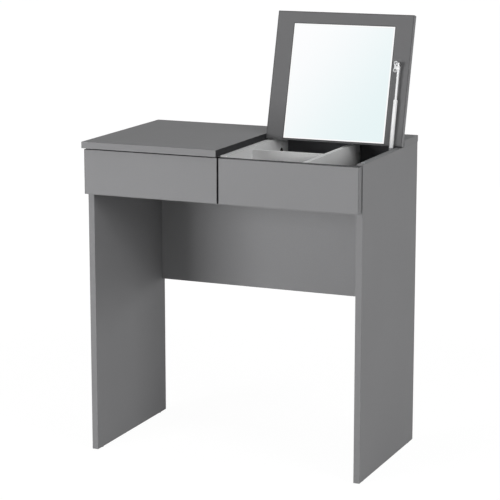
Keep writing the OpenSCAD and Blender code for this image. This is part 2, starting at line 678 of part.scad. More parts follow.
// The stay's own frame: its lower stud at 0 and its upper stud up +Z
module stay_frame() translate([stay_x, foot_y, foot_z]) rotate([-stay_lean, 0, 0]) children();
module socket(z) x_rod(-socket_t / 2, socket_t / 2, 0, z, socket_d);
module stay_rod() color(steel) stay_frame() difference() {
    neck_z = stay_l - socket_d - 3;
    union() {
        socket(stay_l);
        translate([0, 0, neck_z]) cylinder(d = rod_d + 2, h = stay_l - socket_r + 1 - neck_z);
        translate([0, 0, rod_z0]) cylinder(d = rod_d, h = neck_z + 1 - rod_z0);
        translate([0, 0, rod_z0]) cylinder(r = tube_bore_r - fit, h = piston_l);
    }
    x_rod(-socket_t, socket_t, 0, stay_l, stud_d + 2 * run);
}
module stay_tube() color(steel) stay_frame() {
    socket(0);
    difference() {
        translate([0, 0, socket_r - 1.5]) cylinder(d = tube_d, h = tube_l - socket_r + 1.5);
        translate([0, 0, socket_r + 2]) cylinder(r = tube_bore_r, h = tube_l);
    }
}
module stay_gland() color(plastic) stay_frame() difference() {
    translate([0, 0, tube_l - gland_l]) cylinder(r = tube_bore_r - run, h = gland_l);
    translate([0, 0, tube_l - gland_l - 1]) cylinder(d = rod_d + 2 * fit, h = gland_l + 2);
}

left_leg();
right_leg();
leg_glides();
back_panel();
centre_partition();
drawer_bay_rail();
fixed_top();
rear_top_strip();
fixed_front();
front_spacers();
compartment_floor();
compartment_side();
long_divider();
cross_divider();
carcass_cams();
carcass_bolts();
carcass_dowels();
carcass_screws();
left_cabinet_runner();
right_cabinet_runner();
hinge_fixed_leaves();
hinge_pins();
stay_foot();
fitting_screws();
lid_bumpers();
drawer_front();
drawer_left_side();
drawer_right_side();
drawer_back();
drawer_bottom();
left_drawer_runner();
right_drawer_runner();
drawer_cams();
drawer_bolts();
drawer_screws();
drawer_bumpers();
left_front_roller();
right_front_roller();
left_rear_roller();
right_rear_roller();
lid_board();
mirror_glass();
mirror_tape();
hinge_moving_leaves();
stay_bracket();
lid_screws();
stay_rod();
stay_tube();
stay_gland();
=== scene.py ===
import math

import bmesh
import bpy
from mathutils import Matrix, Vector


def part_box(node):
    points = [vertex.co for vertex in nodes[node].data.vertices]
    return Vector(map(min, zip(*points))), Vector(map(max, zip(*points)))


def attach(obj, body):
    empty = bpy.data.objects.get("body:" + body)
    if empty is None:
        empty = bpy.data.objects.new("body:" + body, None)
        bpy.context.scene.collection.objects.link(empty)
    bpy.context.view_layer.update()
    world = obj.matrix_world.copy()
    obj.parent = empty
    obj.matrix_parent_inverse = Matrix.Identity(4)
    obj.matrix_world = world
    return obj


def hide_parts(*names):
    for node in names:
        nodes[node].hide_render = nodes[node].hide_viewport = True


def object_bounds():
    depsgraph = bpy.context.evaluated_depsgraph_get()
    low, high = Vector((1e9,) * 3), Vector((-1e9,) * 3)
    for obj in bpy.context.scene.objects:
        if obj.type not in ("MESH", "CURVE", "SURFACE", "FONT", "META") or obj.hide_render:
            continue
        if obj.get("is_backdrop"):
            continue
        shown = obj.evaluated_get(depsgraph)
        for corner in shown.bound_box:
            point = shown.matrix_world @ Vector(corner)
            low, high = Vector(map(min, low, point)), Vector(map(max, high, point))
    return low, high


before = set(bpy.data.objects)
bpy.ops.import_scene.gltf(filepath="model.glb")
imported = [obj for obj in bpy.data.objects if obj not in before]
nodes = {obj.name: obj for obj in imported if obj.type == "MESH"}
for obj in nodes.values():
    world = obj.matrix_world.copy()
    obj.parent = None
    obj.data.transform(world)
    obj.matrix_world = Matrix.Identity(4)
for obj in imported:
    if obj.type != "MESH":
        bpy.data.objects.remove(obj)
cad_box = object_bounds()

# Side boards: two melamine-faced chipboards, 15 mm thick, that stand on the floor and carry the top.
# The foil is a plain grey with a fine speckle, and a 0.8 mm plastic band closes each sawn edge.
BAND = 0.0008
GREY_FOIL = (0.245, 0.245, 0.250)
ARRIS = 0.0004


class Value:
    """A number or colour that varies over a surface: the output socket of a shader node."""

    def __init__(self, finish, socket):
        self.finish = finish
        self.socket = socket

    def math(self, operation, *values):
        sockets = dict(enumerate(values))
        return self.finish.node("Math", {"operation": operation}, sockets)

    def __add__(self, other):
        return self.math("ADD", self, other)

    def __radd__(self, other):
        return self.math("ADD", other, self)

    def __sub__(self, other):
        return self.math("SUBTRACT", self, other)

    def __rsub__(self, other):
        return self.math("SUBTRACT", other, self)

    def __mul__(self, other):
        return self.math("MULTIPLY", self, other)

    def __rmul__(self, other):
        return self.math("MULTIPLY", other, self)

    def least(self, other):
        return self.math("MINIMUM", self, other)

    def most(self, other):
        return self.math("MAXIMUM", self, other)

    def between(self, low, high):
        """0 at low, 1 at high, smooth in the middle. High may be the smaller number."""
        settings = {"interpolation_type": "SMOOTHSTEP"}
        return self.finish.node("MapRange", settings, {"Value": self, "From Min": low, "From Max": high})

    def stripe(self, start, full, fade, end):
        """1 from full to fade, 0 before start and after end."""
        return self.between(start, full) * self.between(end, fade)


class Finish:
    """One material, with a Principled shader and the nodes that feed it."""

    # A Mix node's factor and its two colours among its inputs, and the mixed colour among its outputs.
    FACTOR, LOW, HIGH = 0, 6, 7
    MIXED = 2

    def __init__(self, name, **constants):
        self.material = bpy.data.materials.new(name)
        self.material.use_nodes = True
        self.tree = self.material.node_tree
        self.shader = self.tree.nodes["Principled BSDF"]
        for key, value in constants.items():
            self.shader.inputs[key.replace("_", " ")].default_value = value

    def node(self, kind, settings, sockets, output=0):
        """Adds a node with its settings, and feeds its sockets with values or links."""
        made = self.tree.nodes.new("ShaderNode" + kind)
        for key, value in settings.items():
            setattr(made, key, value)
        for key, value in sockets.items():
            self.feed(made.inputs[key], value)
        return Value(self, made.outputs[output])

    def feed(self, socket, value):
        if isinstance(value, Value):
            self.tree.links.new(value.socket, socket)
        else:
            socket.default_value = value

    def paint(self, **values):
        """Feeds the shader and gives the finished material."""
        for key, value in values.items():
            self.feed(self.shader.inputs[key.replace("_", " ")], value)
        return self.material

    def place(self, turn=None):
        """The point on the piece in metres. turn is (point on an axis along X, angle) that undoes a tilt."""
        point = self.node("TexCoord", {}, {}, "Object")
        if turn:
            centre, angle = turn
            settings = {"rotation_type": "X_AXIS"}
            point = self.node("VectorRotate", settings, {"Vector": point, "Center": centre, "Angle": angle})
        return point

    def axes(self, point):
        """The three coordinates of a point."""
        split = self.node("SeparateXYZ", {}, {"Vector": point})
        return [Value(self, socket) for socket in split.socket.node.outputs]

    def noise(self, point, scale, detail=2.0, roughness=0.5):
        sockets = {"Vector": point, "Scale": scale, "Detail": detail, "Roughness": roughness}
        return self.node("TexNoise", {}, sockets)

    def mix(self, factor, low, high, blend="MIX"):
        """A colour between low and high, or low with high laid over it by another blend."""
        low = (*low, 1.0) if isinstance(low, tuple) else low
        high = (*high, 1.0) if isinstance(high, tuple) else high
        sockets = {self.FACTOR: factor, self.LOW: low, self.HIGH: high}
        return self.node("Mix", {"data_type": "RGBA", "blend_type": blend}, sockets, self.MIXED)

    def bump(self, height, distance, strength=1.0):
        return self.node("Bump", {}, {"Height": height, "Distance": distance, "Strength": strength})


def shade(colour, factor):
    """A colour made darker or, by a factor over 1, lighter."""
    return tuple(channel * factor for channel in colour)


def foil(name, low, high, thin, colour, band=None, turn=None, mark=None):
    """Melamine foil for a board that fills the box from low to high and is thinnest along axis thin.
    band is the colour of its edge band, turn undoes a tilt, and mark changes the colour of a part of it."""
    finish = Finish(name, Specular_IOR_Level=0.12)
    point = finish.place(turn)
    along = finish.axes(point)
    inset = [(along[i] - low[i]).least(high[i] - along[i]) for i in range(3)]
    wide = [inset[i] for i in range(3) if i != thin]
    rim = wide[0].least(wide[1])
    speckle = finish.noise(point, scale=1500.0, detail=2.0, roughness=0.7)
    cloud = finish.noise(point, scale=5.0, detail=3.0, roughness=0.5)
    face = finish.mix(speckle.between(0.35, 0.65), shade(colour, 0.95), shade(colour, 1.05))
    face = finish.mix(cloud.between(0.3, 0.7) * 0.5, face, shade(colour, 0.955))
    edge = band or shade(colour, 0.95)
    face = finish.mix(rim.between(BAND, BAND * 0.6), face, edge)
    glue = rim.stripe(BAND * 0.75, BAND, BAND * 1.15, BAND * 1.5)
    face = finish.mix(glue * 0.6, face, shade(edge, 0.35))
    if mark:
        face = mark(finish, along, face)
    # Painted highlight mixed with wear: patches along the rounded arrises are painted lighter, partly as
    # worn foil and partly as light caught on the edges.
    arris = rim.most(inset[thin]).between(BAND, BAND * 0.2)
    wear_and_highlight = arris * finish.noise(point, scale=60.0, detail=4.0, roughness=0.6).between(0.42, 0.62)
    face = finish.mix(wear_and_highlight * 0.35, face, shade(colour, 1.5))
    rough = 0.54 + speckle * 0.12 + wear_and_highlight * 0.1
    grain = finish.noise(point, scale=2600.0, detail=3.0, roughness=0.6)
    return finish.paint(Base_Color=face, Roughness=rough, Normal=finish.bump(grain, 0.00003))


TOUCHING = 0.000002


def soften(node, width):
    """Joins a piece's faces and rounds its arrises."""
    weld = nodes[node].modifiers.new("joined faces", "WELD")
    weld.merge_threshold = TOUCHING
    bevel = nodes[node].modifiers.new("rounded arrises", "BEVEL")
    bevel.width = width
    bevel.segments = 2
    bevel.limit_method = "ANGLE"
    bevel.angle_limit = math.radians(60)
    bevel.harden_normals = True


def dress(node, material):
    """Gives a CAD node a material in place of its plain one."""
    nodes[node].data.materials.clear()
    nodes[node].data.materials.append(material)


def board(node, thin, colour, band=None, turn=None, mark=None, box=None):
    """Finishes a CAD board. box is what the board fills before a tilt, and otherwise the node's own."""
    low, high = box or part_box(node)
    dress(node, foil(node + "_foil", low, high, thin, colour, band, turn, mark))
    soften(node, ARRIS)


board("left_leg", 0, GREY_FOIL)
board("right_leg", 0, GREY_FOIL)

# Glides: four ribbed plastic discs pressed into the lower edges of the side boards.
# They keep the chipboard off the floor and show only as a thin dark line.
glide = Finish("glide_plastic", Specular_IOR_Level=0.4)
spot = glide.place()
ribs = glide.node("TexWave", {"bands_direction": "Z"}, {"Vector": spot, "Scale": 220.0})
fleck = glide.noise(spot, 400.0).between(0.3, 0.7)
dress("leg_glides", glide.paint(
    Base_Color=glide.mix(fleck, (0.02, 0.02, 0.022), (0.045, 0.045, 0.048)),
    Roughness=0.45 + glide.noise(spot, 90.0) * 0.2,
    Normal=glide.bump(ribs, 0.0001),
))

# Back panel and the boards behind the fronts: the same chipboard in the same grey foil, painted a
# little lighter on the panel as painted light. The part of the panel that closes the compartment is
# painted dark as painted shade, and a cable hole is drilled through the partition, its bore painted dark as
# painted shade.
# Near black: painted shade in gaps and hollows, and the dark lines and edges.
SHADE_AND_LINE_BLACK = (0.030, 0.030, 0.032)
PANEL_PAINTED_LIGHTER_FOIL = shade(GREY_FOIL, 1.15)
PANEL_PAINTED_SHADE = shade(SHADE_AND_LINE_BLACK, 3.6)
PANEL_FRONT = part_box("back_panel")[0].y
BAY_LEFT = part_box("compartment_floor")[0].x
BAY_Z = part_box("compartment_floor")[0].z


def painted_shade_above_floor(finish, along, face):
    """Painted shade: the front of the panel is painted dark to the right of the partition and above the
    bay's floor.
    """
    bay = along[0].between(BAY_LEFT - 0.001, BAY_LEFT + 0.001) * along[2].between(BAY_Z, BAY_Z + 0.0005)
    front = along[1].between(PANEL_FRONT + 0.0002, PANEL_FRONT + 0.0001)
    return finish.mix(bay * front, face, PANEL_PAINTED_SHADE)


CABLE_HOLE = (0.151, 0.717)
CABLE_HOLE_R = 0.010
HOLE_PAINTED_SHADE = (0.035, 0.030, 0.026)


def shaded_hole_bore(finish, along, face):
    """Painted shade: the bore of the cable hole is painted dark."""
    off = [along[i + 1] - CABLE_HOLE[i] for i in range(2)]
    square = off[0] * off[0] + off[1] * off[1]
    bore_shade = square.between((CABLE_HOLE_R + 0.0004) ** 2, (CABLE_HOLE_R + 0.0002) ** 2)
    return finish.mix(bore_shade, face, HOLE_PAINTED_SHADE)


board("back_panel", 1, PANEL_PAINTED_LIGHTER_FOIL, mark=painted_shade_above_floor)
board("centre_partition", 0, GREY_FOIL, mark=shaded_hole_bore)
board("drawer_bay_rail", 2, GREY_FOIL)

# Tops: two 15.5 mm boards that stay still, the left half and the strip behind the lid.
# The left half's edge beside the lid is painted nearly black.
TOP_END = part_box("fixed_top")[1].x


def dark_inner_edge(finish, along, face):
    """Paints the edge beside the lid nearly black."""
    return finish.mix(along[0].between(TOP_END - BAND * 1.5, TOP_END - BAND * 0.75), face, SHADE_AND_LINE_BLACK)


board("fixed_top", 2, GREY_FOIL, mark=dark_inner_edge)
board("rear_top_strip", 2, GREY_FOIL)

# Fronts: two plain 18 mm boards with no handle, one on the drawer and one fixed.
# The drawer is pulled by the lower edge of its front. The upper edges and the ends that face each
# other are painted dark, as painted shade in the gaps under the top and between the fronts, and a
# fine line shows where the band is glued at the outer ends.
FRONT_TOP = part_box("fixed_front")[1].z
FRONT_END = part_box("fixed_front")[1].x
FRONT_GAP = 0.004
DARK_FROM = 0.0006
DARK_FULL = 0.0002
GLUE_LINE = (0.0002, 0.0005, 0.0013, 0.0016)


def gap_shade_and_glue_line(finish, along, face):
    """Painted shade on the upper edges and the facing ends, and the outer band's glue line, on both fronts,
    which mirror each other.
    """
    face = finish.mix(along[2].between(FRONT_TOP - DARK_FROM, FRONT_TOP - DARK_FULL), face, SHADE_AND_LINE_BLACK)
    away = along[0].most(along[0] * -1.0)
    inner_end = away.between(FRONT_GAP / 2 + DARK_FROM, FRONT_GAP / 2 + DARK_FULL)
    face = finish.mix(inner_end, face, SHADE_AND_LINE_BLACK)
    line = (FRONT_END - away).stripe(*GLUE_LINE)
    return finish.mix(line * 0.55, face, SHADE_AND_LINE_BLACK)


board("drawer_front", 1, GREY_FOIL, mark=gap_shade_and_glue_line)
board("fixed_front", 1, GREY_FOIL, mark=gap_shade_and_glue_line)

# Inside boards: the compartment's floor, side and dividers and the drawer's box, all in a pale
# foil with a slightly lighter band on their upper edges. The cable hole goes on through the side.
PALE_FOIL = (0.79, 0.79, 0.79)
PALE_BAND = (0.84, 0.84, 0.84)
board("compartment_floor", 2, PALE_FOIL, PALE_BAND)
board("compartment_side", 0, PALE_FOIL, PALE_BAND, mark=shaded_hole_bore)
board("long_divider", 0, PALE_FOIL, PALE_BAND)
board("cross_divider", 1, PALE_FOIL, PALE_BAND)
board("drawer_left_side", 0, PALE_FOIL, PALE_BAND)
board("drawer_right_side", 0, PALE_FOIL, PALE_BAND)
board("drawer_back", 1, PALE_FOIL, PALE_BAND)
board("drawer_bottom", 2, PALE_FOIL, PALE_BAND)

# Lid: a 14 mm board in the same foil, with a shallow recess for the mirror, an eased rear arris
# and two notches for the hinges. It stands open and leans back, held by its stay. Its box and the
# mirror's are those of the closed lid.
LID_OPEN = math.radians(105.0)
HINGE_AXIS = Vector((0.0, 0.097, 0.7645))
# Painted shade: the lid's underside gets this darker copy of its own foil.
UNDERSIDE_PAINTED_SHADE = shade(GREY_FOIL, 0.625)
LID_BOX = (Vector((0.001, -0.21, 0.756)), Vector((0.35, 0.105, 0.77)))
LID_TURN = (HINGE_AXIS, LID_OPEN)
MIRROR_BOX = (Vector((0.046, -0.1805, 0.756)), Vector((0.305, 0.1016, 0.759)))


def underside_shade_and_lines(finish, along, face):
    """Painted shade: the underside is painted darker, and the gap round the mirror is painted as a dark line
    of shadow. A fine dark line runs near the lid's edges.
    """
    under = along[2].between(LID_BOX[0].z + 0.0009, LID_BOX[0].z + 0.0005)
    face = finish.mix(under * 0.9, face, UNDERSIDE_PAINTED_SHADE)
    inside = [(along[i] - LID_BOX[0][i]).least(LID_BOX[1][i] - along[i]) for i in range(2)]
    outline = inside[0].least(inside[1])
    line = outline.stripe(0.0007, 0.0010, 0.0018, 0.0024)
    face = finish.mix(line * under * 0.6, face, SHADE_AND_LINE_BLACK)
    beyond = [(MIRROR_BOX[0][i] - along[i]).most(along[i] - MIRROR_BOX[1][i]) for i in range(2)]
    mirror_gap_shade = beyond[0].most(beyond[1]).between(0.0017, 0.0011)
    low = along[2].between(MIRROR_BOX[1].z + 0.0015, MIRROR_BOX[1].z + 0.0010)
    return finish.mix(mirror_gap_shade * low * 0.85, face, SHADE_AND_LINE_BLACK)


board("lid_board", 2, GREY_FOIL, turn=LID_TURN, mark=underside_shade_and_lines, box=LID_BOX)

# Mirror: 3 mm float glass, silvered on its back, with a narrow polished bevel all round. It lies
# flush in the recess on three strips of dark foam tape. Its colour turns bluer towards one corner, a
# painted reflection of a sky that turns bluer to one side.
BEVEL = 0.0038
BEVEL_LINE = 0.0004
REFLECTED_BLUER_ACROSS = 2.2
REFLECTED_BLUER_ALONG = 1.6
silver = Finish("silvered_glass", Metallic=1.0)
spot = silver.place(LID_TURN)
across, along, _ = silver.axes(spot)
side = (across - MIRROR_BOX[0].x).least(MIRROR_BOX[1].x - across)
end = (along - MIRROR_BOX[0].y).least(MIRROR_BOX[1].y - along)
rim = side.least(end)
# Painted reflection: the mirror's colour turns bluer across and along it, standing in for a reflected sky.
reflected_bluer = (across - MIRROR_BOX[0].x) * REFLECTED_BLUER_ACROSS + (along - MIRROR_BOX[0].y) * REFLECTED_BLUER_ALONG
glass = silver.mix(reflected_bluer.between(0.0, 1.0), (0.985, 0.985, 0.995), (0.80, 0.905, 0.915))
bevelled = rim.between(BEVEL, BEVEL - 0.0003)
facet = rim.stripe(BEVEL - BEVEL_LINE, BEVEL, BEVEL, BEVEL + BEVEL_LINE)
ground = rim.between(0.0008, 0.0004)
glass = silver.mix(bevelled, glass, (0.99, 0.995, 0.995))
dress("mirror_glass", silver.paint(
    Base_Color=silver.mix(facet * 0.5, glass, (0.80, 0.86, 0.87)),
    Roughness=0.012 + ground * 0.3 + silver.noise(spot, 40.0).between(0.6, 0.9) * 0.01,
    Normal=silver.bump(rim.least(BEVEL), 0.0004, 0.4),
))
soften("mirror_glass", 0.0005)
tape = Finish("foam_tape", Roughness=0.9)
spot = tape.place()
dress("mirror_tape", tape.paint(
    Base_Color=tape.mix(tape.noise(spot, 900.0), (0.02, 0.02, 0.02), (0.05, 0.05, 0.05)),
    Normal=tape.bump(tape.noise(spot, 1500.0), 0.0002),
))

# Steel fittings: hinges, screws, cams and bolts, zinc plated after they are pressed or turned.
# The plating is bright, with a fine spangle and duller patches.


def zinc(name, colour):
    """Plated steel of a colour."""
    finish = Finish(name, Metallic=1.0)
    point = finish.place()
    spangle = finish.node("TexVoronoi", {}, {"Vector": point, "Scale": 700.0}, "Color")
    cloud = finish.noise(point, scale=120.0, detail=4.0, roughness=0.6)
    tone = finish.mix(cloud.between(0.35, 0.7), shade(colour, 0.82), colour)
    tone = finish.mix(0.12, tone, spangle, "SOFT_LIGHT")
    grain = finish.noise(point, scale=2200.0, detail=2.0, roughness=0.7)
    return finish.paint(Base_Color=tone, Roughness=0.26 + cloud * 0.18, Normal=finish.bump(grain, 0.00002))


plated = zinc("zinc_plate", (0.66, 0.67, 0.69))
for fitting in ("hinge_fixed_leaves", "hinge_moving_leaves", "carcass_cams", "drawer_cams"):
    dress(fitting, plated)
    soften(fitting, 0.0002)
for fitting in ("hinge_pins", "carcass_bolts", "drawer_bolts"):
    dress(fitting, plated)

# Screws: cold-headed steel with a cross recess and a rolled thread, zinc plated, and darker in the
# lid. The countersunk ones hold the boards and the hinges, the pan-headed ones hold the runners and
# the stay's plates. Sizes are in mm from here on where MM turns them into metres.
MM = 0.001
PITCH = 1.0
PLAIN_NECK = 1.2
ROOT_RISE = 0.45
# The thread's root is a part of the shank, and the recess's outline and depth are parts of the head.
ROOT = 0.78
RECESS = ((1.0, 0.0), (0.96, 0.12), (0.6, 0.5))


def loft(shape, rings, hollow=False):
    """Skins a row of rings of points, capped at both ends or, if hollow, led back to the first ring."""
    made = [[shape.verts.new(point) for point in ring] for ring in rings]
    pairs = list(zip(made, made[1:]))
    if hollow:
        pairs.append((made[-1], made[0]))
    else:
        shape.faces.new(made[0][::-1])
        shape.faces.new(made[-1])
    for low, high in pairs:
        for i in range(len(low)):
            shape.faces.new((low[i - 1], low[i], high[i], high[i - 1]))


def fitted(name, shape, material, body, slot, *replaced):
    """Makes a piece of a shape. It rides on a body and stands for the CAD nodes that it replaces."""
    bmesh.ops.recalc_face_normals(shape, faces=shape.faces)
    mesh = bpy.data.meshes.new(name)
    shape.to_mesh(mesh)
    shape.free()
    mesh.materials.append(material)
    mesh.shade_smooth()
    mesh.set_sharp_from_angle(angle=math.radians(40))
    made = bpy.data.objects.new(name, mesh)
    bpy.context.scene.collection.objects.link(made)
    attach(made, body)
    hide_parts(*replaced)


def round_point(angle, radius, height):
    """A point on a turned body. Its radius and height are in mm."""
    return Vector((radius * math.cos(angle), radius * math.sin(angle), height)) * MM


def cross_edge(angle, arm, half):
    """How far the edge of a cross recess lies from its middle."""
    small, large = sorted((abs(math.sin(angle)), abs(math.cos(angle))))
    return arm / large if small * arm <= half * large else half / small


def screw(shape, place, head, shank, neck, length, pan):
    """Adds a screw whose head faces up place's Z, with its outer face at 0. Its sizes are in mm."""
    arm = head * 0.56
    half = head * 0.15
    corner = math.atan2(half, arm)
    quarter = [0.0, corner, math.radians(30), math.radians(45), math.radians(60), math.pi / 2 - corner]
    angles = [turn * math.pi / 2 + angle for turn in range(4) for angle in quarter]
    rounds = [(shank * 0.15, -length), (shank * 0.7, -length + shank * 1.2)]
    height = -length + shank * 2
    while height < -neck - PLAIN_NECK:
        rounds += [(shank, height), (shank * ROOT, height + ROOT_RISE)]
        height += PITCH
    rounds.append((shank, -neck))
    if pan:
        rounds += [(head, -neck), (head, -neck * 0.55), (head * 0.94, -neck * 0.2), (head * 0.8, 0.0)]
    else:
        rounds += [(head * 0.97, -0.12), (head, -0.06), (head * 0.95, 0.0)]
    rings = [[(radius, height) for _ in angles] for radius, height in rounds]
    for size, depth in RECESS:
        rings.append([(cross_edge(angle, arm * size, half * size), -head * depth) for angle in angles])
    loft(shape, [
        [place @ round_point(angle, *point) for angle, point in zip(angles, ring)] for ring in rings
    ])


def loose_bodies(node):
    """The corners of each separate body of a CAD node."""
    shape = bmesh.new()
    shape.from_mesh(nodes[node].data)
    bmesh.ops.remove_doubles(shape, verts=shape.verts, dist=TOUCHING)
    left = set(shape.verts)
    while left:
        reached = [left.pop()]
        for corner in reached:
            for edge in corner.link_edges:
                other = edge.other_vert(corner)
                if other in left:
                    left.discard(other)
                    reached.append(other)
        yield [Vector(place) for place in sorted(tuple(corner.co) for corner in reached)]
    shape.free()


def measured(corners):
    """A plain screw's place, the sizes of its head, shank, neck and length in mm, and if it's pan-headed."""
    low, high = (Vector(pick(corner[i] for corner in corners) for i in range(3)) for pick in (min, max))
    axis = max(range(3), key=lambda i: high[i] - low[i])
    middle = (low + high) / 2
    across = [i for i in range(3) if i != axis]
    centre_line = [middle[i] for i in across]
    off = [math.dist([corner[i] for i in across], centre_line) for corner in corners]
    head = max(off)
    wide = [corner[axis] for corner, radius in zip(corners, off) if radius > head * 0.98]
    outward = 1.0 if sum(wide) / len(wide) > middle[axis] else -1.0
    face = high[axis] if outward > 0 else low[axis]
    depths = [abs(corner[axis] - face) for corner in corners]
    neck = min(depth for depth in depths if depth > 0.3 * MM)
    at_neck = max(radius for radius, depth in zip(off, depths) if abs(depth - neck) < 0.05 * MM)
    shank = max(radius for radius, depth in zip(off, depths) if depth > neck + MM)
    way = Vector([outward if i == axis else 0.0 for i in range(3)])
    centre = Vector([face if i == axis else middle[i] for i in range(3)])
    place = Matrix.Translation(centre) @ way.to_track_quat("Z", "Y").to_matrix().to_4x4()
    sizes = [size / MM for size in (head, shank, neck, max(depths))]
    return place, sizes, at_neck > head * 0.9


def screws(node, body, turned_by=Matrix(), steel=plated):
    """Puts a detailed screw in the place of each plain one. turned_by is the tilt of their board."""
    shape = bmesh.new()
    straighten = turned_by.inverted()
    for index, corners in enumerate(sorted(loose_bodies(node), key=lambda found: tuple(found[0]))):
        place, sizes, pan = measured([straighten @ corner for corner in corners])
        driven = Matrix.Rotation(index * 0.7, 4, "Z")
        screw(shape, turned_by @ place @ driven, *sizes, pan)
    fitted(node + "_crossed", shape, steel, body, "zinc", node)


lid_tilt = Matrix.Rotation(-LID_OPEN, 4, "X")
lid_place = Matrix.Translation(HINGE_AXIS) @ lid_tilt @ Matrix.Translation(-HINGE_AXIS)
screws("carcass_screws", "table")
screws("fitting_screws", "table")
screws("drawer_screws", "drawer")
screws("lid_screws", "lid", lid_place, zinc("lid_screw_steel", (0.24, 0.24, 0.25)))

# Dowels: fluted beech pins, 8 mm thick, glued into holes between the boards.
# They show only when the table is taken apart.
beech = Finish("beech", Roughness=0.6)
spot = beech.place()
grain = beech.noise(beech.node("Mapping", {}, {"Vector": spot, "Scale": (1.0, 12.0, 12.0)}), 60.0, 5.0)
dress("carcass_dowels", beech.paint(
    Base_Color=beech.mix(grain, (0.42, 0.27, 0.15), (0.66, 0.47, 0.29)),
    Normal=beech.bump(grain, 0.0002),
))

# Pads: discs of clear soft plastic with an adhesive back. They are stuck where the drawer, the
# fixed front or the closed lid comes to rest.
pad = Finish("clear_pad", Transmission_Weight=0.55, IOR=1.45)
spot = pad.place()
haze = pad.noise(spot, 300.0)
for node in ("front_spacers", "lid_bumpers", "drawer_bumpers"):
    dress(node, pad.material)
    soften(node, 0.0004)
pad.paint(Base_Color=pad.mix(haze, (0.70, 0.72, 0.74), (0.82, 0.84, 0.86)), Roughness=0.25 + haze * 0.2)

# Runners: cold-formed steel channels with white enamel, two on the carcass and two on the drawer.
# Each pair holds one roller at the front of the carcass and one at the back of the drawer.


def enamel(name, colour, rough):
    """Enamel or moulded plastic: a smooth colour with a faint orange peel under a thin coat."""
    finish = Finish(name, Coat_Weight=0.3, Coat_Roughness=0.15)
    point = finish.place()
    peel = finish.noise(point, scale=500.0)
    cloud = finish.noise(point, scale=30.0, detail=3.0)
    tone = finish.mix(cloud.between(0.3, 0.7), shade(colour, 0.96), colour)
    return finish.paint(Base_Color=tone, Roughness=rough + cloud * 0.1, Normal=finish.bump(peel, 0.00004))


runner_enamel = enamel("runner_enamel", (0.78, 0.78, 0.77), 0.3)
for node in ("left_cabinet_runner", "right_cabinet_runner", "left_drawer_runner", "right_drawer_runner"):
    dress(node, runner_enamel)
    soften(node, 0.0003)

# Rollers: four moulded nylon wheels, 16 mm across, with a thin web between the hub and the tread.
# Each turns on an axle that is riveted to its runner.
roller_plastic = enamel("roller_plastic", (0.70, 0.70, 0.68), 0.4)
FACETS = 40


def turned(shape, place, profile, hollow=False):
    """Adds a turned solid along place's Z. The profile is the radius and height of its rings, in mm."""
    angles = [2 * math.pi * i / FACETS for i in range(FACETS)]
    rings = [[place @ round_point(angle, *point) for angle in angles] for point in profile]
    loft(shape, rings, hollow)


def facing_x(point):
    """A frame at a point, with its Z along the object's X."""
    return Matrix.Translation(point) @ Matrix.Rotation(math.pi / 2, 4, "Y")


half_roller = [(2.6, 2.4), (3.6, 2.4), (3.75, 2.2), (3.9, 1.0), (6.0, 0.9), (6.3, 2.2), (6.5, 2.45),
               (7.5, 2.45), (7.9, 2.1), (8.0, 1.6)]
for side in ("left_front", "right_front", "left_rear", "right_rear"):
    low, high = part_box(side + "_roller")
    shape = bmesh.new()
    profile = [(radius, -height) for radius, height in half_roller] + half_roller[::-1]
    turned(shape, facing_x((low + high) / 2), profile, hollow=True)
    fitted(side + "_wheel", shape, roller_plastic, side + "_wheel", "white_roller", side + "_roller")

# Lid stay: a gas spring in white enamel. Its tube has a rolled mouth, a bead and a grey moulded socket,
# which snaps on the stud of the right side board. Its rod ends in an eye on the lid's stud, between
# two black washers that stand in for the shade on the eye's sides, as painted shade.
STAY_FOOT = Vector((0.3265, 0.0755, 0.7405))
STAY_HEAD = Vector((0.3265, 0.12756, 0.94887))
STAY_L = (STAY_HEAD - STAY_FOOT).length / MM
stay_lean = math.atan2(STAY_HEAD.y - STAY_FOOT.y, STAY_HEAD.z - STAY_FOOT.z)
stay_place = Matrix.Translation(STAY_FOOT) @ Matrix.Rotation(-stay_lean, 4, "X")
stay_enamel = enamel("stay_enamel", (0.98, 0.985, 0.99), 0.25)
shape = bmesh.new()
turned(shape, stay_place, [
    (4.5, 9.0), (4.9, 9.5), (4.9, 120.6), (4.65, 121.2), (4.65, 121.9), (4.9, 122.5), (4.95, 128.6),
    (4.8, 129.4), (4.4, 129.95), (4.0, 129.9), (3.8, 129.4), (3.8, 10.5),
])
fitted("stay_cylinder", shape, stay_enamel, "tube", "white_enamel", "stay_tube")
shape = bmesh.new()
turned(shape, stay_place, [
    (3.75, 62.0), (3.75, 65.0), (2.75, 65.2), (2.75, STAY_L - 14.0), (3.1, STAY_L - 13.4),
    (3.7, STAY_L - 12.6), (3.75, STAY_L - 9.0), (3.3, STAY_L - 4.0),
])
turned(shape, facing_x(STAY_HEAD), [
    (3.06, -2.6), (4.2, -2.6), (4.5, -2.3), (4.5, 2.3), (4.2, 2.6), (3.06, 2.6),
], hollow=True)
fitted("stay_piston", shape, stay_enamel, "rod", "white_enamel", "stay_rod")
